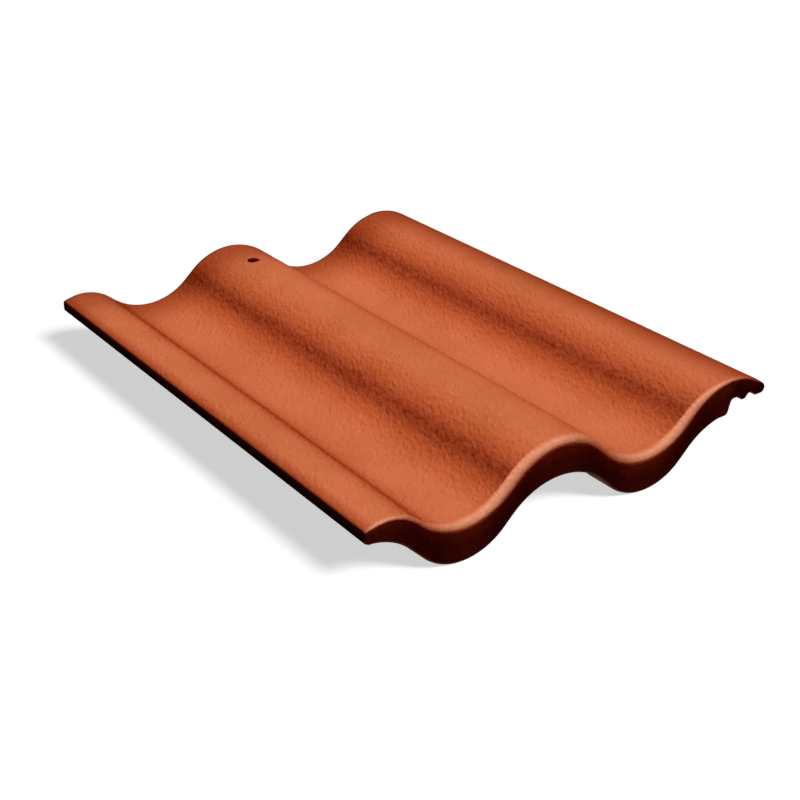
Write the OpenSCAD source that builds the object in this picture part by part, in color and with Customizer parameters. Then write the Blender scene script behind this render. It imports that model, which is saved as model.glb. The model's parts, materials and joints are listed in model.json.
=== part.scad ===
// Interlocking double-wave concrete roof tile, one cast piece.
// X runs across the tile from the underlock edge to the overlock edge, Y runs up the roof from the
// tail to the head, Z is up. The origin is under the middle of the tile, level with what it lies on.

/* [Tile] */
// Length of the tile from the tail to the head
tile_len = 420; // [380:1:460]
// Thickness of the body, square to its surface
body_t = 11.5; // [9:0.5:14]

/* [Wave] */
// Distance from one roll to the next, half of the width that a laid tile covers
pitch = 150; // [136:1:166]
// Height of a roll's top above the channel beside it
wave_h = 33.6; // [31:0.2:38]
// Steepness of the straight flank between a roll and a channel, in degrees
flank = 42.5; // [39:0.5:45]
// Radius of the top of a roll
roll_r = 50; // [45:1:54]

/* [Underlock] */
// Distance from the underlock edge to the middle of the first channel
edge_to_channel = 72; // [68:0.5:76]
// Distance from the underlock edge to the top of the low roll
low_roll_x = 15.5; // [13:0.5:18]
// Height of the low roll above the channel
low_roll_h = 21.8; // [20.6:0.2:25]
// Steepness of the low roll's flank, in degrees
low_flank = 39; // [34:0.5:40]
// Radius of the first channel on the underlock side
low_channel_r = 48.5; // [44:0.5:52]

/* [Overlock] */
// Reach of the overlock past the middle of the last roll
overlock_w = 33; // [30:0.5:35]
// Depth of the lock grooves below the top of the roll
groove_drop = 14.9; // [14:0.1:17]
// Height of the lock ribs
rib_h = 3.3; // [2:0.1:4.5]
// Width of the inner lock rib at its foot
rib_w = 4; // [3:0.5:4.5]
// Width of the groove between the two ribs
groove_w = 4; // [3:0.5:4.5]
// Width of the outer lock rib at its foot
end_rib_w = 6; // [4.5:0.5:6.5]
// Run of a rib's sloping side
rib_run = 2.5; // [1.5:0.5:3]
// Radius of the overlock's nose
nose_r = 3.5; // [2:0.5:4]

/* [Tail lip] */
// Depth of the tail face at a channel
lip_depth = 27; // [22:0.5:32]
// Length of the level underside of the lip
lip_len = 24; // [18:1:40]
// Length of the slope from the lip to the body
lip_run = 12; // [6:1:20]
// How much shallower the tail face is at a roll than at a channel
lip_thinning = 1.2; // [0:0.1:2.4]
// Steepness of the lip's underside, in degrees
lip_flank = 44.5; // [43:0.5:46]
// Radius of the lip's underside at a roll
lip_roll_r = 52; // [46:1:58]
// Depth of the lip's underside at the underlock edge, below the top of the low roll
lip_edge_drop = 12.8; // [12:0.2:15]
// Radius of the lip's underside on the underlock side of the first channel
lip_low_r = 41; // [36:1:46]
// Radius of the rounded tail edge on the rolls and channels
tail_edge_r = 5.6; // [3:0.2:7]
// Radius of the tail edge on the two laps
lap_edge_r = 2; // [1:0.2:2.6]

/* [Weather bar] */
// Clear distance from the lip to the weather bar
bar_gap = 16; // [8:1:60]
// Width of the bar's face
bar_w = 10; // [6:1:16]
// Height of the bar below the body
bar_h = 5; // [3:0.5:8]
// Run of the bar's sloping sides
bar_run = 4; // [2:0.5:8]

/* [Head and nibs] */
// Radius of the small arrises at the head and under the tail
arris_r = 1.5; // [0.8:0.1:2.4]
// Distance from the head to the nibs' hanging faces
hang_from_head = 22; // [20:1:40]
// Width of a nib at its root
nib_w = 38; // [26:1:50]
// Length of a nib along the tile
nib_len = 17; // [12:1:20]
// Slope of a nib's sides, in degrees
nib_draft = 12; // [4:1:20]

/* [Nail hole] */
// Diameter of the hole
nail_d = 10; // [6:0.5:12]
// Distance from the head to the middle of the hole
nail_from_head = 42; // [34:1:80]

/* [Hidden] */

terracotta = [0.76, 0.35, 0.22];
arc_steps = 7;          // facets on each half of a roll or channel
lap_steps = 4;          // facets from the underlock edge to the top of the low roll
nose_steps = 3;         // facets on the overlock's nose
tail_steps = 5;         // facets on the rounded tail edge
head_steps = 2;         // facets on the head's arrises
wall_x = -2;            // foot of the wall that ends the lip, from the middle of the last roll
wall_run = 3;           // run of that wall, up to the lock grooves
fade_in = 66;           // length over which the tail edge grows to its full radius, past the low roll
fade_out = 50;          // length over which it falls again, towards the overlock
fade_end = 12;          // where that ends, past the middle of the last roll
nib_root = 4;           // depth of a nib's root inside the body
past = 1;               // how far the nail hole's cutter runs past the body

// Where the channels and rolls lie across the tile, measured from the underlock edge
channel_x = [edge_to_channel, edge_to_channel + pitch];
roll_x = [edge_to_channel + pitch / 2, edge_to_channel + 1.5 * pitch];
tile_w = roll_x[1] + overlock_w;

// Heights above the bottom of the tail
roll_z = lip_depth + wave_h;
low_roll_z = lip_depth + low_roll_h;
lip_wave_h = wave_h + lip_thinning;
lip_edge_z = low_roll_z - lip_edge_drop;
groove_z = roll_z - groove_drop;
rib_z = groove_z - rib_h;

// Sum of the two radii that, with a straight flank at angle a between them, rise by h over a run w
function radius_sum(w, h, a) = (w * sin(a) - h * cos(a)) / (1 - cos(a));
channel_r = radius_sum(pitch / 2, wave_h, flank) - roll_r;
low_roll_r = radius_sum(edge_to_channel - low_roll_x, low_roll_h, low_flank) - low_channel_r;
lip_channel_r = radius_sum(pitch / 2, lip_wave_h, lip_flank) - lip_roll_r;
lip_edge_r = radius_sum(edge_to_channel, lip_edge_z, lip_flank) - lip_low_r;

// An arc in n steps between two angles from the vertical, with its top (side 1) or bottom (side -1)
// at x, z. It leaves out its last point where skip is 1.
function arc(side, x, z, r, a0, a1, n, skip = 0) =
    [for (i = [0 : n - skip])
        let (a = a0 + (a1 - a0) * i / n)
        [x + r * sin(a), z - side * r * (1 - cos(a))]];

// Two channels with their bottoms at z, and the rolls after them up to just before the last one's top.
// The first channel's underlock side has its own radius r_in and is reached at the angle a_in.
function waves(z, h, a, r_roll, r_channel, r_in, a_in) = concat(
    arc(-1, channel_x[0], z, r_in, -a_in, 0, arc_steps, 1),
    arc(-1, channel_x[0], z, r_channel, 0, a, arc_steps),
    arc(1, roll_x[0], z + h, r_roll, -a, a, 2 * arc_steps),
    arc(-1, channel_x[1], z, r_channel, -a, a, 2 * arc_steps),
    arc(1, roll_x[1], z + h, r_roll, -a, 0, arc_steps, 1)
);

// Underside of the overlock, from the top of the lip's end wall past the two ribs to the nose.
// The runs are counted inwards from the nose, and each rib or groove has two corners.
lock_runs = [0, end_rib_w, rib_run, groove_w, rib_run, rib_w, rib_run];
lock_z = [rib_z, rib_z, groove_z, groove_z, rib_z, rib_z, groove_z];
nose_x = tile_w - nose_r;
function run_sum(i) = i == 0 ? 0 : lock_runs[i] + run_sum(i - 1);
overlock_line = concat(
    [[roll_x[1] + wall_x + wall_run, groove_z]],
    [for (i = [len(lock_runs) - 1 : -1 : 0]) [nose_x - run_sum(i), lock_z[i]]],
    [for (i = [1 : nose_steps])
        let (a = 90 * i / nose_steps)
        [nose_x + nose_r * sin(a), rib_z + nose_r * (1 - cos(a))]]
);

// Outlines of the cross-section from left to right, all with the same number of points
function last_roll_z(x) = roll_z - roll_r + sqrt(pow(roll_r, 2) - pow(x - roll_x[1], 2));
top_line = concat(
    arc(1, low_roll_x, low_roll_z, low_roll_r, -asin(low_roll_x / low_roll_r), 0, lap_steps, 1),
    arc(1, low_roll_x, low_roll_z, low_roll_r, 0, low_flank, arc_steps),
    waves(lip_depth, wave_h, flank, roll_r, channel_r, low_channel_r, low_flank),
    [for (x = concat([roll_x[1] + wall_x], [for (p = overlock_line) p[0]])) [x, last_roll_z(x)]]
);
// Underside of the body at a depth t below the top, except on the two laps
function under_line(t) = concat(
    [for (i = [0 : lap_steps - 1]) [low_roll_x * i / lap_steps, low_roll_z - body_t]],
    arc(1, low_roll_x, low_roll_z - t, low_roll_r - t, 0, low_flank, arc_steps),
    waves(lip_depth - t, wave_h, flank, roll_r - t, channel_r + t, low_channel_r + t, low_flank),
    [[roll_x[1] + wall_x, roll_z - t]],
    overlock_line
);
body_line = under_line(body_t);
bar_line = under_line(body_t + bar_h);
// Underside of the lip. Its first point stays level with the body's, where the underlock edge is seen.
lip_line = concat(
    [for (p = arc(1, 0, lip_edge_z, lip_edge_r, 0, lip_flank, lap_steps + arc_steps))
        p[0] > 0 ? p : [0, low_roll_z - body_t]],
    waves(0, lip_wave_h, lip_flank, lip_roll_r, lip_channel_r, lip_low_r, lip_flank),
    [[roll_x[1] + wall_x, lip_wave_h]],
    overlock_line
);

// Radius of the tail's top edge at x: full on the rolls and channels, small on the laps
function ease(t) = let (c = min(max(t, 0), 1)) c * c * (3 - 2 * c);
function tail_r(x) = lap_edge_r + (tail_edge_r - lap_edge_r)
    * ease((x - low_roll_x) / fade_in)
    * ease((roll_x[1] + fade_end - x) / fade_out);

// How much longer a vertical step is than the same step square to the outline at point i
function steepness(line, i) =
    let (step = line[min(i + 1, len(line) - 1)] - line[max(i - 1, 0)])
    norm(step) / step[0];

// A row holds the top line and then an under line, at one place along the tile.
// On a rounded end, angle a turns from 0 on the end face to 90 where the edge is done, and away is
// the direction from the end face into the tile.
top_slope = [for (i = [0 : len(top_line) - 1]) steepness(top_line, i)];
function plain_row(y, under) = [for (line = [top_line, under]) for (p = line) [p[0], y, p[1]]];
function end_row(y, away, a, radii, under) = concat(
    [for (i = [0 : len(top_line) - 1])
        let (r = radii[i], p = top_line[i])
        [p[0], y + away * r * (1 - cos(a)), p[1] - r * top_slope[i] * (1 - sin(a))]],
    [for (p = under) [p[0], y + away * arris_r * (1 - cos(a)), p[1] + arris_r * (1 - sin(a))]]
);
tail_radii = [for (p = top_line) tail_r(p[0])];
head_radii = [for (p = top_line) arris_r];
bar_y = lip_len + lip_run + bar_gap;
rows = concat(
    [for (i = [0 : tail_steps]) end_row(0, 1, 90 * i / tail_steps, tail_radii, lip_line)],
    [
        plain_row(lip_len, lip_line),
        plain_row(lip_len + lip_run, body_line),
        plain_row(bar_y, body_line),
        plain_row(bar_y + bar_run, bar_line),
        plain_row(bar_y + bar_run + bar_w, bar_line),
        plain_row(bar_y + 2 * bar_run + bar_w, body_line)
    ],
    [for (i = [head_steps : -1 : 0]) end_row(tile_len, -1, 90 * i / head_steps, head_radii, body_line)]
);

// Point i of the top (side 0) or of the underside (side 1) in row j, and two triangles on four points
count = len(top_line);
function at(j, side, i) = (2 * j + side) * count + i;
function quad(a, b, c, d) = [[a, b, c], [a, c, d]];
cast_faces = [
    for (j = [0 : len(rows) - 2]) each concat(
        [for (i = [0 : count - 2]) each concat(
            quad(at(j, 0, i), at(j + 1, 0, i), at(j + 1, 0, i + 1), at(j, 0, i + 1)),
            quad(at(j, 1, i), at(j, 1, i + 1), at(j + 1, 1, i + 1), at(j + 1, 1, i))
        )],
        quad(at(j + 1, 1, 0), at(j + 1, 0, 0), at(j, 0, 0), at(j, 1, 0)),
        quad(at(j, 1, count - 1), at(j, 0, count - 1), at(j + 1, 0, count - 1), at(j + 1, 1, count - 1))
    ),
    for (i = [0 : count - 2], end = [0, len(rows) - 1])
        let (left = end == 0 ? i : i + 1, right = end == 0 ? i + 1 : i)
        each quad(at(end, 1, left), at(end, 0, left), at(end, 0, right), at(end, 1, right))
];

// The tile without its nibs and its hole
module casting() {
    polyhedron([for (row = rows) each row], cast_faces, convexity = 8);
}

// A nib with its middle at x. It hangs behind the batten and reaches down to the level of the tail.
module batten_nib(x) {
    foot_z = lip_depth - body_t;
    top_z = foot_z + nib_root;
    lean = foot_z * tan(nib_draft);
    translate([x, tile_len - hang_from_head + nib_len, 0])
        rotate([90, 0, 0])
            linear_extrude(nib_len)
                polygon([
                    [-nib_w / 2 + lean, 0],
                    [nib_w / 2 - lean, 0],
                    [nib_w / 2, foot_z],
                    [nib_w / 2, top_z],
                    [-nib_w / 2, top_z],
                    [-nib_w / 2, foot_z]
                ]);
}

// Cutter for the nail hole, straight down through the top of the first full roll
module nail_hole() {
    translate([roll_x[0], tile_len - nail_from_head, roll_z - body_t - past])
        cylinder(h = body_t + 2 * past, d = nail_d, $fn = 48);
}

module roof_tile() {
    color(terracotta)
        translate([-tile_w / 2, -tile_len / 2, 0])
            difference() {
                union() {
                    casting();
                    for (x = channel_x) batten_nib(x);
                }
                nail_hole();
            }
}

roof_tile();
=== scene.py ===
# %% [markdown]
# # A double-wave concrete roof tile
# A concrete roof tile is made upside up on a steel pallet. Wet mortar is fed over a row of pallets, a
# roller and a slipper press it to the shape of the waves, and a knife cuts one tile from the next.
# So its section stays the same along its length, the pallet gives it a smooth underside with nibs,
# and the slipper and the paint give it a satin, slightly pebbled weather face.
# The lesson follows the same order: draw the section lines, pull them out along the tile, close the
# ends, round the tail, then give each side its own skin.

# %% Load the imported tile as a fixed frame
import json
import math

import bmesh
import bpy
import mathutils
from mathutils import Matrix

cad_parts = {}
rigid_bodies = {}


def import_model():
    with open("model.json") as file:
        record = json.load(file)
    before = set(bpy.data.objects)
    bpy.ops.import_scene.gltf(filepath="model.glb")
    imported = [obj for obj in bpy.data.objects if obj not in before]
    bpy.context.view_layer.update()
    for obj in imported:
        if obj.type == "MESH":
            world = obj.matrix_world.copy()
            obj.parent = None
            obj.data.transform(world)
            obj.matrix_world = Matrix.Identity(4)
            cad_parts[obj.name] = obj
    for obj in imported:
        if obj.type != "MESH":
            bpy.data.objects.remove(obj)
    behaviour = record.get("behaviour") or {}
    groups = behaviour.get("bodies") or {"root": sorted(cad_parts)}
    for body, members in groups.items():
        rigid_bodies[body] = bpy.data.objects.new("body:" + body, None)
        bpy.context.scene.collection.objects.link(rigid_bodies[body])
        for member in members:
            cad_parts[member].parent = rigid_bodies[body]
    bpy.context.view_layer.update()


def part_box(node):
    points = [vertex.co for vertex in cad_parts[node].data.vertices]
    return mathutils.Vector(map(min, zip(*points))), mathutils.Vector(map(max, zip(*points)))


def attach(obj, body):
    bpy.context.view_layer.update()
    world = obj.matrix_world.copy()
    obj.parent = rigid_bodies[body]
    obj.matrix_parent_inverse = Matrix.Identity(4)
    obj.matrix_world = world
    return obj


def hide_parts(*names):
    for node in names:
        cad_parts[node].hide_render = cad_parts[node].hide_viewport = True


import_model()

MM = 0.001
tile_low, tile_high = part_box("roof_tile")
tile_w = (tile_high.x - tile_low.x) / MM
tile_len = (tile_high.y - tile_low.y) / MM
roll_z = (tile_high.z - tile_low.z) / MM
print(f"the tile is {tile_w:.1f} mm wide, {tile_len:.1f} mm long and {roll_z:.1f} mm high")

# %% [markdown]
# ## The camera
# The tile lies on a floor and is seen from its lower left corner, from a little above. A lens of
# 65 mm keeps the perspective natural. The camera turns by its yaw and looks down by its pitch, and
# a last small roll about its own axis levels the view.

# %% Put the camera at the lower left corner
bpy.context.scene.view_settings.view_transform = "Standard"
tile_middle = (tile_low + tile_high) / 2
to_left, to_front, up = 0.552554, 0.791955, 0.475188               # metres, from below the middle
camera_yaw, camera_pitch, camera_roll = 35.2910, 26.3094, 0.1428   # degrees
lens, sensor = 64.946, 36                                          # millimetres
bpy.ops.object.select_all(action="DESELECT")
bpy.ops.object.camera_add(location=(tile_middle.x - to_left, tile_middle.y - to_front,
                                    tile_low.z + up))
camera = bpy.context.object
camera.name = "studio_camera"
camera.rotation_euler = (math.radians(90 - camera_pitch), 0, math.radians(-camera_yaw))
camera.rotation_euler.rotate_axis("Z", math.radians(camera_roll))
camera.data.sensor_width = sensor
camera.data.lens = lens
bpy.context.scene.camera = camera
print(f"camera {camera.location.length:.3f} m from the middle of the tile")

# %% [markdown]
# ## Floor and light
# A roof tile is lit by the sky, so one broad soft light stands almost overhead, a little to the left.
# The tail face and the underlock edge then stay in their own shade, which is what tells the eye how
# thick the tile is. A weak sky keeps those shades from going quite black.
# The floor is plain white paper to the camera and to reflections, and it keeps the tile's shadow.
# To other rays it is a dark cloth, so that it throws no light up at the shaded faces. The shadow has
# a lamp of its own, which shines from the front on the floor alone. So the floor before the tail
# stays clean, and the shadow lies beside and behind the tile.

# %% Helpers for shader nodes
def link_in(tree, node, socket, value):
    """Fill an input of a node with a number, a colour, or another node's output."""
    if isinstance(value, bpy.types.NodeSocket):
        tree.links.new(value, node.inputs[socket])
    else:
        node.inputs[socket].default_value = value


def add_node(tree, kind, **inputs):
    """Add a shader node. Words that start with set_ are its settings, and the others its inputs.
    An input goes by its name, with _ for a space, or by its number, as i0, i1 and so on."""
    node = tree.nodes.new("ShaderNode" + kind)
    for word, value in inputs.items():
        if word.startswith("set_"):
            setattr(node, word[4:], value)
    for word, value in inputs.items():
        if not word.startswith("set_"):
            socket = int(word[1:]) if word[1:].isdigit() else word.replace("_", " ")
            link_in(tree, node, socket, value)
    return node


def seen_directly(tree):
    """1 for rays from the camera, from a reflection or through glass, and 0 for all others."""
    path = add_node(tree, "LightPath")
    either = add_node(tree, "Math", set_operation="MAXIMUM",
                      i0=path.outputs["Is Camera Ray"], i1=path.outputs["Is Glossy Ray"])
    return add_node(tree, "Math", set_operation="MAXIMUM",
                    i0=either.outputs[0], i1=path.outputs["Is Transmission Ray"]).outputs[0]


# %% A floor that looks white but throws little light back
floor_size = 12          # metres
floor_gap = 0.05 * MM    # keeps the floor clear of the faces that lie on it
shadow_depth = 0.385     # the share of the paper that takes light, and so shows the shadow
white, dark = (1, 1, 1, 1), (0.06, 0.06, 0.06, 1)

bpy.ops.object.select_all(action="DESELECT")
bpy.ops.mesh.primitive_plane_add(size=floor_size, location=(tile_middle.x, tile_middle.y,
                                                            tile_low.z - floor_gap))
floor = bpy.context.object
floor.name = "studio_floor"
bpy.ops.object.transform_apply(location=True, rotation=True, scale=True)

paper = bpy.data.materials.new("white_paper")
paper.use_nodes = True
tree = paper.node_tree
tree.nodes.clear()
glow = add_node(tree, "Emission", Color=white, Strength=1.0)
lit = add_node(tree, "BsdfDiffuse", Color=white)
cloth = add_node(tree, "BsdfDiffuse", Color=dark)
face = add_node(tree, "MixShader", i0=shadow_depth, i1=glow.outputs[0], i2=lit.outputs[0])
both = add_node(tree, "MixShader", i0=seen_directly(tree), i1=cloth.outputs[0], i2=face.outputs[0])
add_node(tree, "OutputMaterial", Surface=both.outputs[0])
floor.data.materials.append(paper)
print("floor", floor_size, "m across")

# %% Two lamps, each with its own reach
def aim(lamp, towards):
    """Turn a lamp so that it shines towards a point."""
    away = lamp.location - towards
    lamp.rotation_euler = away.to_track_quat("Z", "Y").to_euler()


Vector = type(tile_middle)


def add_sun(name, direction, strength, spread):
    """A broad far light. Its strength is the brightness that it gives to white paper facing it."""
    bpy.ops.object.light_add(type="SUN", location=tile_middle + direction)
    lamp = bpy.context.object
    lamp.name = name
    aim(lamp, tile_middle)
    lamp.data.energy = strength * math.pi
    lamp.data.angle = math.radians(spread)
    return lamp


def limit_reach(lamp, piece, state):
    """Let a lamp shine on this piece alone (INCLUDE), or on all but this piece (EXCLUDE)."""
    reach = bpy.data.collections.new(lamp.name + "_reach")
    reach.objects.link(piece)
    reach.collection_objects[0].light_linking.link_state = state
    lamp.light_linking.receiver_collection = reach


overhead_from, overhead_spread = Vector((-0.08, 0.03, 1.0)), 12    # degrees across
shadow_from, shadow_spread = Vector((0.1, -1.05, 1.0)), 14
overhead_light = add_sun("overhead_light", overhead_from, 1.0, overhead_spread)
limit_reach(overhead_light, floor, "EXCLUDE")
shadow_light = add_sun("shadow_light", shadow_from, shadow_from.length, shadow_spread)
limit_reach(shadow_light, floor, "INCLUDE")
print("lamps:", overhead_light.name, "and", shadow_light.name)

# %% A weak sky
sky_strength = 0.03
sky = bpy.data.worlds.new("studio_sky")
sky.use_nodes = True
bpy.context.scene.world = sky
tree = sky.node_tree
tree.nodes.clear()
weak = add_node(tree, "Background", Color=white, Strength=sky_strength)
plain = add_node(tree, "Background", Color=white, Strength=1.0)
both = add_node(tree, "MixShader", i0=seen_directly(tree), i1=weak.outputs[0], i2=plain.outputs[0])
add_node(tree, "OutputWorld", Surface=both.outputs[0])
print("sky:", len(tree.nodes), "nodes")

# %% [markdown]
# ## A pen for section lines
# The press tool of a tile is set out with arcs and straight runs that meet without a kink. The same
# line can be drawn with two operators: **spin** turns the last vertex about a centre and leaves an
# arc behind it, and **extrude** pulls it on in a straight run. A pen remembers where the last vertex
# is and which way it is heading, so that each arc starts in line with what came before.
# All distances are millimetres, measured from the underlock edge, the tail, and the floor. The last
# number of each arc and run is its count of steps. A step is about 1.5 mm long, and every line has
# the same count in all, so that two lines can be bridged corner by corner.

# %% Draw arcs and runs from one vertex
def place(x, y, z):
    """A point of the tile, in metres in the shared frame."""
    return (tile_low.x + x * MM, tile_low.y + y * MM, tile_low.z + z * MM)


def pen_down(x, y, z, heading):
    """Start a line: a small plane merged at its centre leaves one vertex."""
    bpy.ops.mesh.select_all(action="DESELECT")
    bpy.ops.mesh.primitive_plane_add(size=MM, location=place(x, y, z))
    bpy.ops.mesh.merge(type="CENTER")
    return {"x": x, "y": y, "z": z, "heading": heading, "points": 1}


def bend(pen, radius, degrees, steps):
    """Turn the line through an arc, up and to the left for positive degrees, or down for negative."""
    side = 1 if degrees > 0 else -1
    start = math.radians(pen["heading"])
    centre_x = pen["x"] - side * radius * math.sin(start)
    centre_z = pen["z"] + side * radius * math.cos(start)
    bpy.ops.mesh.spin(steps=steps, angle=math.radians(degrees),
                      center=place(centre_x, pen["y"], centre_z), axis=(0, 1, 0))
    pen["heading"] += degrees
    end = math.radians(pen["heading"])
    pen["x"] = centre_x + side * radius * math.sin(end)
    pen["z"] = centre_z - side * radius * math.cos(end)
    pen["points"] += steps


def run(pen, length, steps):
    """Pull the line straight on."""
    dx = length * math.cos(math.radians(pen["heading"]))
    dz = length * math.sin(math.radians(pen["heading"]))
    for _ in range(steps):
        bpy.ops.mesh.extrude_region_move(
            TRANSFORM_OT_translate={"value": (dx / steps * MM, 0, dz / steps * MM)})
    pen["x"] += dx
    pen["z"] += dz
    pen["points"] += steps


# %% Draw a path with rounded corners
def through(pen, corners, radius, run_steps, bend_steps):
    """Run past each corner in turn, with a small arc in place of the corner, up to the last point."""
    for i, (x, z) in enumerate(corners):
        dx, dz = x - pen["x"], z - pen["z"]
        pen["heading"] = math.degrees(math.atan2(dz, dx))
        if i == len(corners) - 1:
            run(pen, math.hypot(dx, dz), run_steps[i])
            return
        after = corners[i + 1]
        turn = math.degrees(math.atan2(after[1] - z, after[0] - x)) - pen["heading"]
        cut = radius[i] * math.tan(math.radians(abs(turn) / 2))
        run(pen, math.hypot(dx, dz) - cut, run_steps[i])
        bend(pen, radius[i], turn, bend_steps[i])


# %% [markdown]
# ## The sizes of the section
# A tile covers two waves. From the underlock edge on the left come a low roll, a channel, a roll,
# a second channel and the last roll, which reaches over the low roll of the next tile. Its underside
# has two ribs and a nose that keep rain from driving in. The body is equally thick all over, so its
# underside is the same line with each radius changed by the thickness.

# %% Name the sizes of the waves
body_t = 11.5
pitch, flank, roll_r = 150, 42.5, 50         # the flank is in degrees
lip_depth = 27
wave_h = roll_z - lip_depth
edge_to_channel = 72
low_roll_x, low_roll_h, low_flank, low_channel_r = 15.5, 21.8, 39, 48.5
low_roll_z = lip_depth + low_roll_h
last_roll_x = edge_to_channel + 1.5 * pitch
groove_z = roll_z - 14.9
rib_h, rib_w, groove_w, rib_slope_w = 3.3, 4, 4, 2.5
rib_z = groove_z - rib_h
nose_r, toe_w = 3.5, 6                       # the toe is the flat second rib, under the nose
flange_z = low_roll_z - body_t


def straight_between(width, height, degrees, radius):
    """The other radius and the straight run of two arcs that rise by height over width."""
    a = math.radians(degrees)
    total = (width * math.sin(a) - height * math.cos(a)) / (1 - math.cos(a))
    return total - radius, (width - total * math.sin(a)) / math.cos(a)


channel_r, flank_run = straight_between(pitch / 2, wave_h, flank, roll_r)
low_roll_r, low_run = straight_between(edge_to_channel - low_roll_x, low_roll_h,
                                       low_flank, low_channel_r)
print(f"channel radius {channel_r:.2f}, low roll radius {low_roll_r:.2f}, flank {flank_run:.2f} mm")

# %% The waves that every line shares
lock_x = last_roll_x - 5      # where the last roll hands over to the overlock
print("the overlock starts at x", lock_x, "mm")


def waves(pen, thick, channel, top, angle, flat):
    """Half a channel, a roll, a channel, and the last roll up to the overlock."""
    bend(pen, channel + thick, angle, 22)
    run(pen, flat, 7)
    bend(pen, top - thick, -2 * angle, 46)
    run(pen, flat, 7)
    bend(pen, channel + thick, 2 * angle, 44)
    run(pen, flat, 7)
    left = math.degrees(math.asin((last_roll_x - lock_x) / (top - thick)))
    bend(pen, top - thick, left - angle, 20)


# %% The top line, from the underlock edge to the nose
edge_r = 1.2         # arris of the underlock edge
nose_top_r = 4.0     # the nose is rounded above as well as below


def weather_line(y):
    """The line of the weather face."""
    reach = math.degrees(math.asin((low_roll_x - edge_r) / (low_roll_r - edge_r)))
    centre_z = low_roll_z - low_roll_r + (low_roll_r - edge_r) * math.cos(math.radians(reach))
    pen = pen_down(0, y, centre_z, 90)
    bend(pen, edge_r, reach - 90, 4)
    bend(pen, low_roll_r, -reach, 10)
    bend(pen, low_roll_r, -low_flank, 15)
    run(pen, low_run, 3)
    bend(pen, low_channel_r, low_flank, 21)
    waves(pen, 0, channel_r, roll_r, flank, flank_run)
    nose = math.degrees(math.asin((tile_w - nose_top_r - last_roll_x) / (roll_r - nose_top_r)))
    bend(pen, roll_r, -(pen["heading"] + nose), 43)
    bend(pen, nose_top_r, nose - 90, 10)
    return pen


# %% The underside line of the body and of the weather bar
wall_r, rib_r = 3.4, 3.1      # corners of the end wall, and of the ribs and grooves


def overlock(pen, wall_z):
    """The end wall, the two ribs with their grooves, and the nose."""
    ribs = [(rib_slope_w, rib_z), (rib_w, rib_z), (rib_slope_w, groove_z),
            (groove_w, groove_z), (rib_slope_w, rib_z), (toe_w, rib_z)]
    x = tile_w - nose_r - sum(width for width, z in ribs)
    corners = [(last_roll_x - 2, wall_z), (last_roll_x + 1, groove_z), (x, groove_z)]
    for width, z in ribs:
        x += width
        corners.append((x, z))
    through(pen, corners, [wall_r] + [rib_r] * 7, [2, 3, 3, 2, 2, 2, 2, 2, 4], [5] + [3] * 7)
    pen["heading"] = 0
    bend(pen, nose_r, 90, 5)


def under_line(y, thick):
    """The underside at a depth below the weather face, with the flat flange of the underlock."""
    pen = pen_down(0, y, flange_z + edge_r, -90)
    bend(pen, edge_r, 90, 4)
    run(pen, 0.75 * low_roll_x - edge_r, 7)
    through(pen, [(low_roll_x, low_roll_z - thick)], [], [3], [])
    pen["heading"] = 0
    bend(pen, low_roll_r - thick, -low_flank, 15)
    run(pen, low_run, 3)
    bend(pen, low_channel_r + thick, low_flank, 21)
    waves(pen, thick, channel_r, roll_r, flank, flank_run)
    overlock(pen, roll_z - thick)
    return pen


# %% The line of the tail lip
lip_h, lip_flank, lip_roll_r, lip_channel_r = 34.8, 44.5, 52, 41
lip_edge_z = low_roll_z - 12.8


def lip_line(y):
    """The deep tail lip has a wave of its own, a little higher and steeper than the weather face."""
    angle = lip_flank
    channel, flat = straight_between(pitch / 2, lip_h, angle, lip_roll_r)
    edge_arc, edge_flat = straight_between(edge_to_channel, lip_edge_z, angle, lip_channel_r)
    pen = pen_down(0, y, flange_z + edge_r, -90)
    bend(pen, edge_r, 66, 4)
    first = 4.05         # degrees of the first arc that the edge's own small arc takes up
    x = edge_arc * math.sin(math.radians(first))
    z = lip_edge_z - edge_arc * (1 - math.cos(math.radians(first)))
    through(pen, [(x, z)], [], [2], [])
    pen["heading"] = -first
    bend(pen, edge_arc, first - angle, 18)
    run(pen, edge_flat, 9)
    bend(pen, lip_channel_r, angle, 20)
    waves(pen, 0, channel, lip_roll_r, angle, flat)
    overlock(pen, lip_h)
    return pen


# %% [markdown]
# ## From lines to one casting
# Each line is pulled out along the tile, as the wet mortar was. The weather face is one long sheet.
# The underside is a row of strips: the tail lip, the body, the weather bar that stops driven rain,
# and the body again up to the head. Bridges join the strips, and close the tail and the head.

# %% Draw the lines and pull them out along the tile
lip_len, lip_run = 24, 12
bar_y, bar_run, bar_w, bar_h = lip_len + lip_run + 16, 4, 10, 5

bpy.ops.object.select_all(action="DESELECT")
bpy.ops.mesh.primitive_plane_add(size=MM)
tile = bpy.context.object
tile.name = "tile_casting"
bpy.ops.object.mode_set(mode="EDIT")
bpy.ops.mesh.select_mode(type="VERT")
bpy.ops.mesh.select_all(action="SELECT")
bpy.ops.mesh.delete(type="VERT")


def pull_out(y, length, line, *sizes):
    """Draw a line across the tile at y and extrude it along the tile."""
    pen = line(y, *sizes)
    bpy.ops.mesh.select_linked()
    bpy.ops.mesh.extrude_region_move(TRANSFORM_OT_translate={"value": (0, length * MM, 0)})
    print(f"{line.__name__} at {y} mm: {pen['points']} points, "
          f"ends at x {pen['x']:.2f} z {pen['z']:.2f}")


pull_out(0, tile_len, weather_line)
pull_out(0, lip_len, lip_line)
pull_out(lip_len + lip_run, bar_y - lip_len - lip_run, under_line, body_t)
pull_out(bar_y + bar_run, bar_w, under_line, body_t + bar_h)
pull_out(bar_y + 2 * bar_run + bar_w, tile_len - bar_y - 2 * bar_run - bar_w, under_line, body_t)


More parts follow.
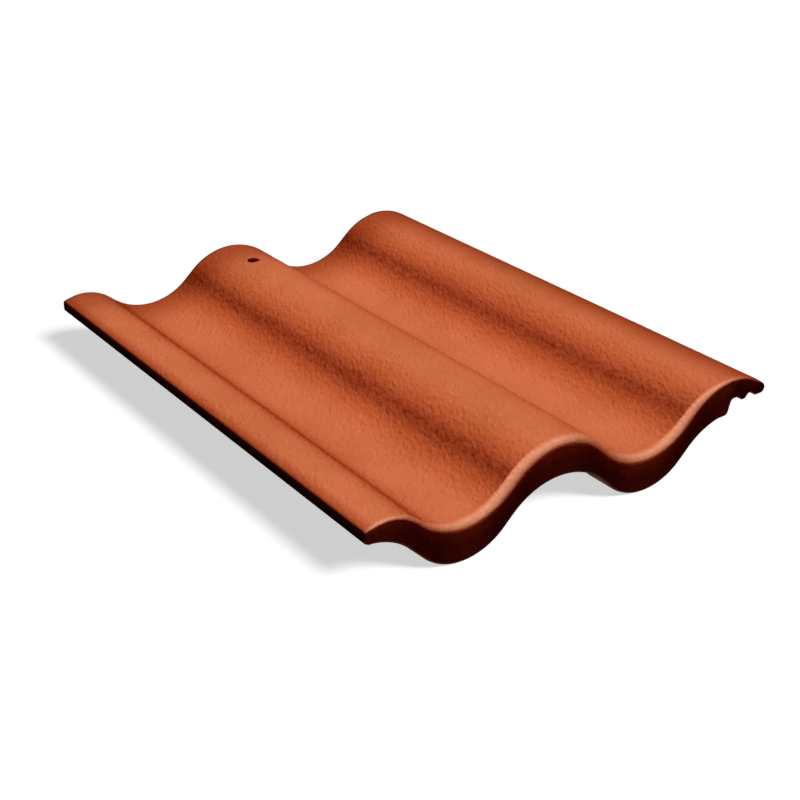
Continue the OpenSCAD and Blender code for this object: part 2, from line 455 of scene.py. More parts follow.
# %% Bridge the strips and close both ends
def select_edges(wanted):
    """Select the edges for which wanted(edge) is true, and nothing else."""
    bpy.ops.mesh.select_mode(type="EDGE")
    bpy.ops.mesh.select_all(action="DESELECT")
    bm = bmesh.from_edit_mesh(bpy.context.object.data)
    bm.normal_update()
    count = 0
    for edge in bm.edges:
        if wanted(edge):
            edge.select_set(True)
            count += 1
    bmesh.update_edit_mesh(bpy.context.object.data)
    return count


def lies_at(edge, *stations):
    """True if the edge crosses the tile at one of these distances from the tail, in millimetres."""
    along = [(v.co.y - tile_low.y) / MM for v in edge.verts]
    return any(all(abs(a - s) < 0.01 for a in along) for s in stations)


bar_end = bar_y + 2 * bar_run + bar_w
for stations in [(0,), (lip_len, lip_len + lip_run), (bar_y, bar_y + bar_run),
                 (bar_end - bar_run, bar_end), (tile_len,)]:
    found = select_edges(lambda e: lies_at(e, *stations))
    bpy.ops.mesh.bridge_edge_loops()
    print("bridged", found, "edges at", [round(s, 1) for s in stations], "mm")
bpy.ops.mesh.select_all(action="SELECT")
bpy.ops.mesh.normals_make_consistent(inside=False)

# %% [markdown]
# ## Rounded ends
# The tail's upper edge is wiped round before the mortar sets. The rounding is broad on the rolls and
# channels, and tight on the two laps, where the next tile has to fit. A bevel has one width for all
# its edges, so the casting is bevelled twice, once tight and once broad. The second becomes a shape
# key of the first, and a vertex group says how much of it each corner takes. So a rounding can grow
# and shrink smoothly, and both casts keep the same faces.

# %% Soften the slopes of the underside, and mark the tail's upper edge
def end_edge(edge, up):
    """True if the edge is between an end face and the weather face (up), or the underside."""
    return lies_at(edge, 0, tile_len) and not edge.is_boundary and any(
        abs(f.normal.y) < 0.9 and (f.normal.z > 0) == up for f in edge.link_faces)


lip_soft, bar_soft = 2.0, 1.2
for stations, width in (((lip_len, lip_len + lip_run), lip_soft),
                        ((bar_y, bar_y + bar_run, bar_end - bar_run, bar_end), bar_soft)):
    found = select_edges(lambda e: lies_at(e, *stations))
    bpy.ops.mesh.bevel(offset=width * MM, segments=3, clamp_overlap=False, loop_slide=True)
    print("softened", found, "edges at", [round(s, 1) for s in stations], "mm")
found = select_edges(lambda e: lies_at(e, 0) and end_edge(e, True))
bpy.ops.mesh.mark_seam()
print("marked", found, "edges of the tail")

# %% Two ways to round the ends
tight_r, lap_r, broad_r = 0.55, 2.0, 5.6     # the tail's upper edge
arris_r = 1.5                                # the other edges of the two end faces
grow_w, shrink_w, edge_w = 66, 75, 6         # over these widths the rounding grows and shrinks
shrunk_x = last_roll_x + 12                  # just past the last roll it is small again


def round_ends(tail_r, small_r):
    """Bevel the marked upper edge of the tail, and the other edges of the two end faces."""
    bpy.ops.object.mode_set(mode="EDIT")
    select_edges(lambda e: not e.seam and (end_edge(e, True) or end_edge(e, False)))
    bpy.ops.mesh.bevel(offset=small_r * MM, segments=3, clamp_overlap=False, loop_slide=False)
    found = select_edges(lambda e: e.seam)
    bpy.ops.mesh.bevel(offset=tail_r * MM, segments=6, clamp_overlap=False, loop_slide=False)
    bpy.ops.mesh.select_all(action="SELECT")
    bpy.ops.mesh.mark_seam(clear=True)
    bpy.ops.object.mode_set(mode="OBJECT")
    print("rounded", found, "edges of the tail")


def ramp(value, start, end):
    """0 at the start and 1 at the end, and soft at both. The end may be less than the start."""
    t = min(max((value - start) / (end - start), 0), 1)
    return t * t * (3 - 2 * t)


def tail_radius(x):
    """Tight at the two edges, small on the laps, and broad on the rolls and channels."""
    grown = ramp(x, low_roll_x, low_roll_x + grow_w) * ramp(x, shrunk_x, shrunk_x - shrink_w)
    ends = ramp(x, 0, edge_w) * ramp(x, tile_w, tile_w - edge_w)
    return tight_r + (lap_r - tight_r) * ends + (broad_r - lap_r) * grown


def share_of_broad(v):
    """How far a corner of the tight cast moves towards its place in the broad one."""
    x = (v.co.x - tile_low.x) / MM
    if v.co.y < 0 and v.normal.z > 0:
        return (tail_radius(x) - tight_r) / (broad_r - tight_r)
    return ramp(x, 0, edge_w) * ramp(x, lock_x, lock_x - edge_w)


# %% Round both ends twice, and blend the two casts by weight
bpy.ops.object.mode_set(mode="OBJECT")
bpy.ops.object.duplicate()
broad_cast = bpy.context.object
broad_cast.name = "broad_cast"
round_ends(broad_r, arris_r)
bpy.ops.object.select_all(action="DESELECT")
tile.select_set(True)
bpy.context.view_layer.objects.active = tile
round_ends(tight_r, tight_r)

weights = tile.vertex_groups.new(name="end_rounding")
for v in tile.data.vertices:
    weights.add([v.index], share_of_broad(v), "REPLACE")
broad_cast.select_set(True)
bpy.ops.object.join_shapes()
tile.active_shape_key_index = 1
tile.active_shape_key.vertex_group = weights.name
tile.active_shape_key.value = 1.0
bpy.ops.object.shape_key_remove(all=True, apply_mix=True)
tile.vertex_groups.remove(weights)
bpy.data.objects.remove(broad_cast)
print("vertices:", len(tile.data.vertices))

# %% [markdown]
# ## Rows fine enough for a pebbled skin
# So far a face reaches from the tail to the head. The relief of the weather face is real, so the
# sheet is cut into rows about 1.5 mm apart, as close as its columns. The underside is smooth and
# gets only a few rows. The two long sides were left open for this, and are filled last.

# %% Cut rows and fill the two sides
def along_tile(edge, shortest):
    """True for an edge that runs along the tile and is at least so long, in millimetres."""
    step = edge.verts[1].co - edge.verts[0].co
    return abs(step.y) > shortest * MM and abs(step.y) > 0.9 * step.length


def faces_up(edge):
    return any(f.normal.z > 0 for f in edge.link_faces)


strips, rows, under_rows = 17, 16, 36        # the weather face is cut twice: strips, then rows
long_edge, strip_edge = 300, 20              # the shortest edges that each cut takes

bpy.ops.object.mode_set(mode="EDIT")
select_edges(lambda e: along_tile(e, long_edge) and not faces_up(e))
bpy.ops.mesh.subdivide(number_cuts=under_rows - 1)
for parts, shortest in ((strips, long_edge), (rows, strip_edge)):
    count = select_edges(lambda e: along_tile(e, shortest) and faces_up(e))
    bpy.ops.mesh.subdivide(number_cuts=parts - 1)
    print("cut", count, "edges into", parts)
select_edges(lambda e: e.is_boundary)
bpy.ops.mesh.fill(use_beauty=True)
bpy.ops.mesh.select_all(action="SELECT")
bpy.ops.mesh.normals_make_consistent(inside=False)
bpy.ops.object.mode_set(mode="OBJECT")
print("vertices:", len(tile.data.vertices), "faces:", len(tile.data.polygons))

# %% [markdown]
# ## The nail hole and the nibs
# The nail hole is punched while the mortar is soft, and the two nibs are filled from pockets in the
# pallet. A boolean takes the punch away from the casting and welds each nib to it, as the press
# does. The nibs taper, so that the tile lifts off its pallet, and their arrises are round.

# %% Punch the nail hole
def finish_modifier(piece, kind, **settings):
    """Add a modifier, set it up, and apply it."""
    bpy.context.view_layer.objects.active = piece
    modifier = piece.modifiers.new(kind.lower(), kind)
    for word, value in settings.items():
        setattr(modifier, word, value)
    bpy.ops.object.modifier_apply(modifier=modifier.name)


nail_x, nail_y, nail_d = edge_to_channel + pitch / 2, tile_len - 42, 10
bpy.ops.object.select_all(action="DESELECT")
bpy.ops.mesh.primitive_cylinder_add(vertices=48, radius=nail_d / 2 * MM, depth=2 * body_t * MM,
                                    location=place(nail_x, nail_y, roll_z - body_t / 2))
punch = bpy.context.object
punch.name = "nail_punch"
bpy.ops.object.transform_apply(location=True, rotation=True, scale=True)
finish_modifier(tile, "BOOLEAN", operation="DIFFERENCE", object=punch, solver="EXACT")
bpy.data.objects.remove(punch)
print("after the punch:", len(tile.data.vertices), "vertices")

# %% Weld the two nibs to the underside
nib_w, nib_len, nib_draft, nib_root = 38, 17, 12, 4      # the draft is in degrees
nib_arris = 1.6
hang_y = tile_len - 22                                   # the face that hangs behind the batten
foot_z = lip_depth - body_t
lean = foot_z * math.tan(math.radians(nib_draft))


def on_floor(edge):
    return all(v.co.z < tile_low.z + MM for v in edge.verts)


def add_nib(x):
    """A tapered block with round arrises. Its hanging face stays upright."""
    bpy.ops.object.select_all(action="DESELECT")
    height = foot_z + nib_root
    bpy.ops.mesh.primitive_cube_add(size=1, location=place(x, hang_y + nib_len / 2, height / 2))
    nib = bpy.context.object
    nib.name = "nib"
    nib.scale = (nib_w * MM, nib_len * MM, height * MM)
    bpy.ops.object.transform_apply(location=True, rotation=True, scale=True)
    bpy.ops.object.mode_set(mode="EDIT")
    select_edges(on_floor)
    bpy.ops.transform.resize(value=((nib_w - 2 * lean) / nib_w, 1, 1),
                             center_override=place(x, hang_y, 0))
    select_edges(lambda e: on_floor(e) or abs(e.verts[0].co.z - e.verts[1].co.z) > MM)
    bpy.ops.mesh.bevel(offset=nib_arris * MM, segments=4)
    bpy.ops.object.mode_set(mode="OBJECT")
    return nib


for x in (edge_to_channel, edge_to_channel + pitch):
    nib = add_nib(x)
    finish_modifier(tile, "BOOLEAN", operation="UNION", object=nib, solver="EXACT")
    bpy.data.objects.remove(nib)
print("with nibs:", len(tile.data.vertices), "vertices")

# %% [markdown]
# ## What the skins need to know
# Some of the colour is painted light and shade that follows the tile's shape: painted shade on the
# steep flanks, a painted highlight on the rounded tail, and painted shade along the rims and on the
# side of the underlock. Each of these becomes a number at each corner of the mesh, worked out from
# its place and its normal while the surface is still plain. A material reads it by name, so the
# pattern stays on the piece. A painted image could do the same, but the mesh would have to be
# unwrapped for it, and the pattern would blur up close.

# %% Where a corner is and how it leans
flank_lines = [(low_roll_x + edge_to_channel) / 2 - 1]       # the lines half-way up each wave
flank_lines += [edge_to_channel + (i + 0.5) * pitch / 2 for i in range(3)]
level_slope = 14                                                   # degrees
print("half-way up the waves: x", [round(line, 1) for line in flank_lines], "mm")


def where_is(v):
    """Millimetres from the underlock edge and from the tail."""
    return (v.co.x - tile_low.x) / MM, (v.co.y - tile_low.y) / MM


def flank_share(v):
    """0 up to level_slope, and 1 where a flank is steepest."""
    slope = math.degrees(math.atan2(abs(v.normal.x), max(v.normal.z, 0.001)))
    steepest = low_flank if where_is(v)[0] < edge_to_channel else flank
    return min(max((slope - level_slope) / (steepest - level_slope), 0), 1)


def turn_down(v):
    """How far the surface has turned down over the tail: 0 degrees on top and 90 on the tail face."""
    return math.degrees(math.atan2(max(-v.normal.y, 0), max(v.normal.z, 0)))


def from_flank_line(x):
    """Millimetres from the nearest line half-way up a wave."""
    return min(abs(x - line) for line in flank_lines)


def near_tail(v):
    """1 on the rounded tail, and 0 from two millimetres behind it."""
    x, y = where_is(v)
    behind = tail_radius(x) + 2 - 0.4 * flank_share(v)
    return ramp(y, behind, behind - 2.5) if turn_down(v) < 3 else 1.0


# %% [markdown]
# ### Painted shade on the flanks and a painted highlight on the tail
# The colour slurry is brushed on wet. The rolls and the channels keep the plain coat, and the steep
# flanks are painted a dark red-brown, darkest on a line half-way up: painted shade. Near the tail that
# painted shade is left out. The upper half of the rounded tail is painted pale, a painted highlight,
# and the lower half a deeper red, the lower edge of that highlight. The highlight is plain on the
# slopes that rise towards the overlock and almost gone on the slopes that fall.

# %% Rules for the slopes and the tail
flank_part, last_flank_part, line_part = 0.86, 0.835, 0.14   # what each adds to the painted shade on the flanks
line_w, tail_shade_cut = 6, 0.9
least_highlight = 0.1


def painted_flank_shade(v):
    """Painted shade by the slope across the tile. It is most half-way up each wave, and left out near
    the tail.
    """
    x = where_is(v)[0]
    part = flank_part if x < edge_to_channel + pitch else last_flank_part
    slope = part * flank_share(v) + line_part * max(1 - from_flank_line(x) / line_w, 0)
    return slope * (1 - tail_shade_cut * near_tail(v))


def painted_tail_highlight(v):
    """1 on the upper half of the rounded tail, where it rises towards the overlock: a painted
    highlight.
    The turn over the tail and the rise are in degrees."""
    if v.normal.z < 0.02:
        return 0.0
    turn = turn_down(v)
    rise = math.degrees(math.atan2(-v.normal.x, v.normal.z))
    on_rising_slope = least_highlight + (1 - least_highlight) * ramp(rise, -38, 8)
    upper_half = ramp(turn + 17 * flank_share(v), -8, 34) * (1 - ramp(turn, 58, 90))
    return on_rising_slope * near_tail(v) * upper_half


def highlight_red_rim(v):
    """1 on the lower half of the rounded tail: the deeper red lower edge of the painted highlight."""
    return ramp(turn_down(v), 60, 84) if v.normal.z > 0.02 else 0.0


def wiped(v):
    """1 on the rounded tail, where wiping has smoothed the wrinkles."""
    return ramp(turn_down(v), 0, 50)


# %% [markdown]
# ### Painted shade on the rims and the side, and a darker cut end
# The coat is painted darker at the outer edge of the overlock, towards the head and on its arris, and a
# little along the underlock edge: painted shade. The side of the underlock is painted near black, and
# the nose and the arris of the head darker: painted shade. The cut end is darker below the flanks and
# in the overlock. The spray of the coat reached the upper edge of the cut faces.

# %% Rules for the painted shade on the rims and the side, and the darker cut end
lap_start, lap_full = last_roll_x - 17, tile_w - 14
head_shade_len = 75                                # the next tile covers this much of the head, and the painted shade darkens it
underlock_edge_shade, head_shade, arris_shade, nose_and_head_shade = 0.8, 0.88, 0.8, 0.8


def painted_edge_shade(v):
    """Painted shade: 1 at the outer edge of the overlock and at the head arris, and less at the
    underlock edge.
    """
    x, y = where_is(v)
    side = max(ramp(x, lap_start, lap_full), underlock_edge_shade * ramp(x, 9, 0))
    lap = head_shade_len + 0.8 * max(v.co.z / MM - lip_depth, 0)       # longer on the rolls
    head = head_shade * ramp(y, tile_len - lap, tile_len) ** 2.1
    arris = arris_shade * ramp(y, tile_len - 2.6, tile_len - 0.6)
    return 1 - (1 - side) * (1 - head) * (1 - arris)


def painted_side_shade(v):
    """Painted shade: 1 on the side of the underlock.
    Less of it lies over the nose and over the arris of the head."""
    x, y = where_is(v)
    head = nose_and_head_shade * ramp(y, tile_len - 3.4, tile_len - 1.4) if v.normal.z > 0.3 else 0.0
    nose = nose_and_head_shade * ramp(x, tile_w - 10, tile_w - 2)
    return max(ramp(x, 1.1, 0.1), nose, head)


def end_darkening(v):
    """1 where the cut end stands below a flank, or in the overlock. The cut end is darker there."""
    x = where_is(v)[0]
    return max(1 - ramp(from_flank_line(x), 8, 30), ramp(x, lock_x, lock_x + 15))


def overspray(v):
    """1 along the upper edge of the tail face and 0 along its lower edge."""
    return 1.0 if v.normal.z > 0.01 else 0.0


# %% Store a number at each corner for every rule
tile.data.update()
for rule in (painted_flank_shade, painted_tail_highlight, highlight_red_rim, painted_edge_shade, wiped, painted_side_shade, end_darkening, overspray):
    values = tile.data.attributes.new(rule.__name__, "FLOAT", "POINT").data
    total = 0
    for v in tile.data.vertices:
        values[v.index].value = rule(v)
        total += values[v.index].value
    print(f"{rule.__name__}: mean {total / len(values):.3f}")

# %% [markdown]
# ## Three skins on one casting
# The weather face is sealed, the ends and the underlock edge are cut, and the underside was cast on
# the pallet. The faces are sorted by the way they look, and each group gets a material slot.

# %% Sort the faces
def assign_faces(piece, slot, wanted):
    """Give the faces for which wanted(face) is true to a material slot."""
    bpy.ops.object.mode_set(mode="EDIT")
    bpy.ops.mesh.select_mode(type="FACE")
    bpy.ops.mesh.select_all(action="DESELECT")
    bm = bmesh.from_edit_mesh(piece.data)
    count = 0
    for face in bm.faces:
        if wanted(face):
            face.select_set(True)
            count += 1
    bmesh.update_edit_mesh(piece.data)
    piece.active_material_index = slot
    bpy.ops.object.material_slot_assign()
    bpy.ops.object.mode_set(mode="OBJECT")
    print(piece.material_slots[slot].name, "has", count, "faces")


def is_cut(face):
    """True for the two end faces, the side of the underlock, and the wall of the nail hole."""
    middle = face.calc_center_median()
    x, y = (middle.x - tile_low.x) / MM, (middle.y - tile_low.y) / MM
    at_side = face.normal.x < -0.9 and x < 2
    at_end = abs(face.normal.y) > 0.97 and min(y, tile_len - y) < 0.2
    in_hole = math.hypot(x - nail_x, y - nail_y) < nail_d / 2 + 0.05
    return at_side or at_end or in_hole


def is_under(face):
    """True for all that was cast against the pallet."""
    in_nose = face.calc_center_median().x > tile_high.x - 2.5 * MM
    return face.normal.z < (-0.6 if in_nose else 0.02) and not is_cut(face)


bpy.ops.object.select_all(action="DESELECT")
tile.select_set(True)
bpy.context.view_layer.objects.active = tile
for name in ("sealed_terracotta", "cut_concrete", "pallet_cast"):
    tile.data.materials.append(bpy.data.materials.new(name))
assign_faces(tile, 1, is_cut)
assign_faces(tile, 2, is_under)

# %% [markdown]
# ## Relief of the weather face
# The slurry that colours the weather face dries to a fine pebbled skin, a few tenths of a millimetre
# deep. The brush crossed the tile askew, so the pebbles are a little longer that way. Part of it is
# real relief: a Displace modifier moves the corners of the weather face along their normals by a
# cloud pattern, where a vertex group allows it. The pattern is taken from the space of an Empty that
# is turned and stretched as the brush went, and the Empty is removed afterwards. The finest grain is
# left to the material.

# %% Displace the weather face
tail_relief, lap_relief = 0.3, 0.25      # the share of the relief that is left there
skin = tile.vertex_groups.new(name="weather_skin")
for v in tile.data.vertices:
    x, y = where_is(v)
    from_hole = math.hypot(x - nail_x, y - nail_y) - nail_d / 2
    share = min(ramp(x, 1, 5),
                1 - (1 - lap_relief) * ramp(x, last_roll_x, last_roll_x + 12),
                tail_relief + (1 - tail_relief) * ramp(y, 5, 13),
                ramp(y, tile_len - 1, tile_len - 4),
                ramp(from_hole, 0, 3))
    share *= ramp(x, tile_w - 2, tile_w - 6) * ramp(v.normal.z, 0.2, 0.5)
    skin.add([v.index], share, "REPLACE")

relief, pebble = 0.8, 3.4
askew, longer = math.radians(-35), 1.8
bpy.ops.object.empty_add(location=(0, 0, 0), rotation=(0, 0, askew))
brush = bpy.context.object
brush.name = "slurry_brush"
brush.scale = (1, longer, 1)
bpy.context.view_layer.update()
pebbles = bpy.data.textures.new("pebbles", "CLOUDS")
pebbles.noise_scale = pebble * MM
pebbles.noise_depth = 1
finish_modifier(tile, "DISPLACE", texture=pebbles, texture_coords="OBJECT",
                texture_coords_object=brush, vertex_group=skin.name, strength=relief * MM,
                mid_level=0.5, direction="NORMAL")
bpy.data.objects.remove(brush)
bpy.ops.object.shade_smooth_by_angle(angle=math.radians(35))
print("the weather face has a relief of up to", relief / 2, "mm up and down")

# %% [markdown]
# ## Sealed weather face
# The body is coloured through with iron oxide. A thin acrylic coat seals the weather face, and the
# fine bloom on it scatters the light evenly, so the face has a deep colour and hardly any gloss. The
# wrinkles are a bump from noise that is stretched along the brush's way, as the relief is. Light from
# above hardly shows a bump where the tile is level, so the colour paints the relief in: one side of
# each wrinkle is painted paler, a painted highlight, and the other side darker, a painted shade, and
# the hollows between the wrinkles are painted a little darker, a painted shade too. The sides are the
# noise less the same noise a little aside, and they come and go in patches.
# A few grains of sand show through as pale specks, and a few bubbles have left pits.
# Over that lie the stored numbers: painted shade on the flanks with ragged edges, a painted highlight
# on the rounded tail with a deeper red lower edge, painted shade along the rims, and the side painted
# near black as painted shade.

# %% Helpers for materials
def bump_layer(tree, height, strength, distance, under=None):
    """One layer of bump over another."""
    words = {"Strength": strength, "Distance": distance, "Height": height}
    if under is not None:
        words["Normal"] = under
    return add_node(tree, "Bump", **words).outputs["Normal"]


def start_material(slot, gloss):
    """A Principled shader, and the piece's own coordinates. Gloss is its specular level."""
    material = tile.data.materials[slot]
    material.use_nodes = True
    tree = material.node_tree
    tree.nodes.clear()
    where = add_node(tree, "TexCoord").outputs["Object"]
    shader = add_node(tree, "BsdfPrincipled", Specular_IOR_Level=gloss)
    add_node(tree, "OutputMaterial", Surface=shader.outputs[0])
    return tree, where, shader


def stored(tree, rule):
    """The number that a rule has left at each corner."""
    return add_node(tree, "Attribute", set_attribute_name=rule.__name__).outputs["Fac"]


print("slots:", [slot.name for slot in tile.material_slots])

# %% Helpers for patterns and colours
def stretch(tree, value, low, high, new_low, new_high):
    """Map a range of values to another, and clip it there."""
    return add_node(tree, "MapRange", Value=value, i1=low, i2=high, i3=new_low, i4=new_high).outputs[0]


def noise(tree, where, size, detail=2.0, rough=0.5, twist=0.0):
    """Soft noise with spots of about this size, in metres."""
    return add_node(tree, "TexNoise", Vector=where, Scale=1 / size, Detail=detail,
                    Roughness=rough, Distortion=twist).outputs["Fac"]


def dots(tree, where, apart, radius):
    """1 inside round dots, a little random in place, and 0 between them."""
    near = add_node(tree, "TexVoronoi", Vector=where, Scale=1 / apart).outputs["Distance"]
    return stretch(tree, near, 0.6 * radius / apart, radius / apart, 1, 0)


def blend_colours(tree, share, low, high, way="MIX"):
    """From one colour to the other as share goes from 0 to 1."""
    return add_node(tree, "Mix", set_data_type="RGBA", set_blend_type=way,
                    i0=share, i6=low, i7=high).outputs[2]


def combine(tree, way, first, second):
    """Add, multiply or compare two values."""
    return add_node(tree, "Math", set_operation=way, i0=first, i1=second).outputs[0]


side_shade_black = (0.08, 0.06, 0.06, 1)      # the near-black colour of the painted side shade

# %% A matt, pebbled, clouded terracotta
coat_low, coat_high = (0.565, 0.139, 0.052, 1), (0.625, 0.159, 0.064, 1)
painted_shade_coat, painted_lit_coat = (0.44, 0.080, 0.028, 1), (0.78, 0.26, 0.13, 1)
pale_sand = (0.80, 0.33, 0.20, 1)
wrinkle = 2.8 * MM

tree, where, shader = start_material(0, gloss=0.0)
clouds = stretch(tree, noise(tree, where, 45 * MM, 3), 0.35, 0.65, 0, 1)
brushed = add_node(tree, "Mapping", set_vector_type="TEXTURE", Vector=where,
                   Rotation=(0, 0, askew), Scale=(1, longer, 1)).outputs[0]
wrinkles = noise(tree, brushed, wrinkle, 1)
aside = add_node(tree, "Mapping", Vector=brushed, Location=(wrinkle / 4, 0, 0)).outputs[0]
wrinkle_side = combine(tree, "SUBTRACT", wrinkles, noise(tree, aside, wrinkle, 1))
patches = stretch(tree, noise(tree, where, 10 * MM, 1), 0.42, 0.60, 0.15, 1)
# painted shade: the hollows between the wrinkles are a little darker
between = stretch(tree, wrinkles, 0.3, 0.6, 0.04, 0)
# painted highlight and painted shade: one side of each wrinkle paler, the other darker
lit_side = combine(tree, "MULTIPLY", patches, stretch(tree, wrinkle_side, 0.04, 0.14, 0, 0.28))
# thick is the painted shade on the darker side of each wrinkle
thick = combine(tree, "MULTIPLY", patches, stretch(tree, wrinkle_side, -0.14, -0.04, 0.30, 0))
sand = combine(tree, "MULTIPLY", dots(tree, where, 7 * MM, 0.7 * MM), 0.3)

colour = blend_colours(tree, clouds, coat_low, coat_high)
colour = blend_colours(tree, between, colour, painted_shade_coat)
colour = blend_colours(tree, lit_side, colour, painted_lit_coat)
colour = blend_colours(tree, thick, colour, painted_shade_coat)
colour = blend_colours(tree, sand, colour, pale_sand)
print("terracotta coat:", len(tree.nodes), "nodes")

# %% The stored numbers over the coat
slope_shade, flank_shade_brown = (0.94, 0.77, 0.62, 1), (0.19, 0.010, 0.002, 1)
highlight_pale, highlight_rim_red = (0.96, 0.37, 0.21, 1), (0.66, 0.055, 0.015, 1)
edge_shade_tint = (0.57, 0.36, 0.24, 1)

# painted shade on the steep flanks, darkest on a line half-way up
flank_shade_stored = stored(tree, painted_flank_shade)
slope_shade_share = stretch(tree, flank_shade_stored, 0, 0.6, 0, 1)
ragged = noise(tree, brushed, 3 * MM, 2)
dark_flank_line = combine(tree, "MULTIPLY", combine(tree, "POWER", flank_shade_stored, 3.2),
                  stretch(tree, ragged, 0.3, 0.6, 0.90, 0.60))
# a pale painted highlight on the upper half of the rounded tail
tail_highlight = combine(tree, "MULTIPLY", stored(tree, painted_tail_highlight), stretch(tree, ragged, 0.3, 0.6, 1, 0.85))
colour = blend_colours(tree, slope_shade_share, colour, slope_shade, "MULTIPLY")
colour = blend_colours(tree, dark_flank_line, colour, flank_shade_brown)
colour = blend_colours(tree, tail_highlight, colour, highlight_pale)
# a deeper red painted on the lower half of the rounded tail, the lower edge of the painted highlight
colour = blend_colours(tree, stored(tree, highlight_red_rim), colour, highlight_rim_red)
# painted shade at the outer edge of the overlock, towards the head and along the underlock edge
colour = blend_colours(tree, stored(tree, painted_edge_shade), colour, edge_shade_tint, "MULTIPLY")
# painted shade: the side of the underlock near black, the nose and the head arris darker
colour = blend_colours(tree, stored(tree, painted_side_shade), colour, side_shade_black, "MULTIPLY")
link_in(tree, shader, "Base Color", colour)
print("with what the slopes and the wiping left:", len(tree.nodes), "nodes")

# %% Satin, rougher on the rims and the rounded tail, and wrinkles, pits and grain in the bump
matt = combine(tree, "MAXIMUM", stored(tree, painted_edge_shade), tail_highlight)
satin = stretch(tree, clouds, 0, 1, 0.5, 0.62)
link_in(tree, shader, "Roughness", combine(tree, "ADD", satin, combine(tree, "MULTIPLY", matt, 0.25)))
grain = noise(tree, where, 1.5 * MM, 2)
pits = dots(tree, where, 11 * MM, 0.9 * MM)
calm = stretch(tree, stored(tree, wiped), 0, 1, 1.0, 0.2)
under = bump_layer(tree, wrinkles, calm, 1.7 * MM)
under = bump_layer(tree, pits, 0.6, -0.5 * MM, under)
link_in(tree, shader, "Normal", bump_layer(tree, grain, 0.35, 0.3 * MM, under))
print("sealed_terracotta:", len(tree.nodes), "nodes")

# %% [markdown]
# ## Cut ends
# A blade cuts the wet strip into tiles, the edge of the pallet strikes off the underlock, and the
# punch leaves the wall of the nail hole. All of these are raw: duller and browner than the coat, with
# the sand laid bare, torn pits, and faint upright drags of the blade. The spray that coats the weather
# face mists over the upper edge, and the end is darker below the flanks and in the overlock. The side
# of
# the underlock is painted near black: painted shade.

# %% Raw concrete with sand and drags
raw_low, raw_high = (0.42, 0.026, 0.014, 1), (0.54, 0.038, 0.022, 1)
raw_sand, drag_brown = (0.60, 0.20, 0.10, 1), (0.24, 0.036, 0.013, 1)
spray_red, end_darkening_tint = (0.80, 0.065, 0.018, 1), (0.60, 0.40, 0.40, 1)

tree, where, shader = start_material(1, gloss=0.0)
upright = add_node(tree, "Mapping", Vector=where, Scale=(1, 1, 0.12)).outputs[0]
drags = noise(tree, upright, 1.6 * MM, 3, 0.6)
tone = noise(tree, where, 20 * MM, 4, 0.6)
sand = add_node(tree, "TexVoronoi", Vector=where, Scale=1 / (1.9 * MM))
grains = stretch(tree, sand.outputs["Distance"], 0.15, 0.45, 1, 0)
pick = add_node(tree, "SeparateColor", Color=sand.outputs["Color"]).outputs[0]
pale = combine(tree, "MULTIPLY", grains, stretch(tree, pick, 0.72, 0.9, 0, 0.4))
spray = stored(tree, overspray)
mist = combine(tree, "ADD", combine(tree, "MULTIPLY", spray, spray), noise(tree, where, 4 * MM, 3))

colour = blend_colours(tree, stretch(tree, tone, 0.3, 0.7, 0, 1), raw_low, raw_high)
colour = blend_colours(tree, pale, colour, raw_sand)
colour = blend_colours(tree, stretch(tree, drags, 0.5, 0.75, 0, 0.5), colour, drag_brown)
colour = blend_colours(tree, stretch(tree, mist, 0.75, 1.25, 0, 1), colour, spray_red)
# darker below the flanks and in the overlock
colour = blend_colours(tree, stored(tree, end_darkening), colour, end_darkening_tint, "MULTIPLY")
# painted shade: the side of the underlock near black, the nose and the head arris darker
colour = blend_colours(tree, stored(tree, painted_side_shade), colour, side_shade_black, "MULTIPLY")
link_in(tree, shader, "Base Color", colour)

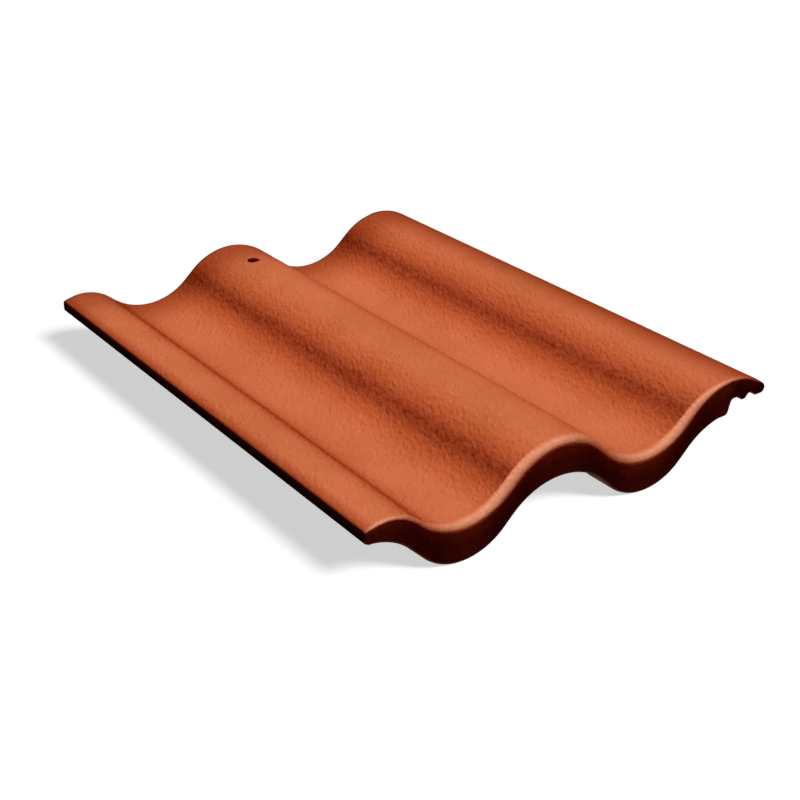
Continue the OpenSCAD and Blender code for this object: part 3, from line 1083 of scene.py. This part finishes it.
link_in(tree, shader, "Roughness", stretch(tree, tone, 0.3, 0.7, 0.82, 0.94))
pits = dots(tree, where, 6 * MM, 1.2 * MM)
under = bump_layer(tree, drags, 0.6, 0.5 * MM)
under = bump_layer(tree, grains, 0.5, 0.4 * MM, under)
link_in(tree, shader, "Normal", bump_layer(tree, pits, 0.8, -0.9 * MM, under))
print("cut_concrete:", len(tree.nodes), "nodes")

# %% [markdown]
# ## Pallet-cast underside
# The steel pallet leaves the underside smooth and matt. A skin of fine cement makes it paler, in
# clouds where the parting oil lay. Air that could not escape left round holes of half a millimetre to
# two, and the tile was drawn a little along the pallet, which left fine scratches.

# %% Smooth, matt, with air holes
cement_low, cement_high = (0.36, 0.082, 0.034, 1), (0.47, 0.15, 0.075, 1)
stain_brown, scratch_pale = (0.29, 0.060, 0.024, 1), (0.56, 0.24, 0.14, 1)
hole_dark = (0.20, 0.040, 0.016, 1)

tree, where, shader = start_material(2, gloss=0.1)
lengthwise = add_node(tree, "Mapping", Vector=where, Scale=(1, 0.05, 1)).outputs[0]
scratches = noise(tree, lengthwise, 1.2 * MM, 2, 0.5)
skin_clouds = noise(tree, where, 30 * MM, 5, 0.6, 0.4)
stains = noise(tree, where, 90 * MM, 2)
small_air, large_air = dots(tree, where, 5 * MM, 0.6 * MM), dots(tree, where, 17 * MM, 1.2 * MM)
air = combine(tree, "MAXIMUM", small_air, large_air)

colour = blend_colours(tree, stretch(tree, skin_clouds, 0.35, 0.65, 0, 1), cement_low, cement_high)
colour = blend_colours(tree, stretch(tree, stains, 0.52, 0.7, 0, 0.5), colour, stain_brown)
colour = blend_colours(tree, stretch(tree, scratches, 0.58, 0.8, 0, 0.35), colour, scratch_pale)
colour = blend_colours(tree, combine(tree, "MULTIPLY", air, 0.6), colour, hole_dark)
link_in(tree, shader, "Base Color", colour)

link_in(tree, shader, "Roughness", stretch(tree, skin_clouds, 0.35, 0.65, 0.78, 0.66))
under = bump_layer(tree, scratches, 0.3, 0.15 * MM)
link_in(tree, shader, "Normal", bump_layer(tree, air, 0.9, -1.0 * MM, under))
print("pallet_cast:", len(tree.nodes), "nodes")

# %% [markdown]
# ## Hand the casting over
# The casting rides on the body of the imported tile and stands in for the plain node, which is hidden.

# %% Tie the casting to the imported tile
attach(tile, "root")
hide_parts("roof_tile")
print(tile.name, "rides on root and replaces roof_tile")
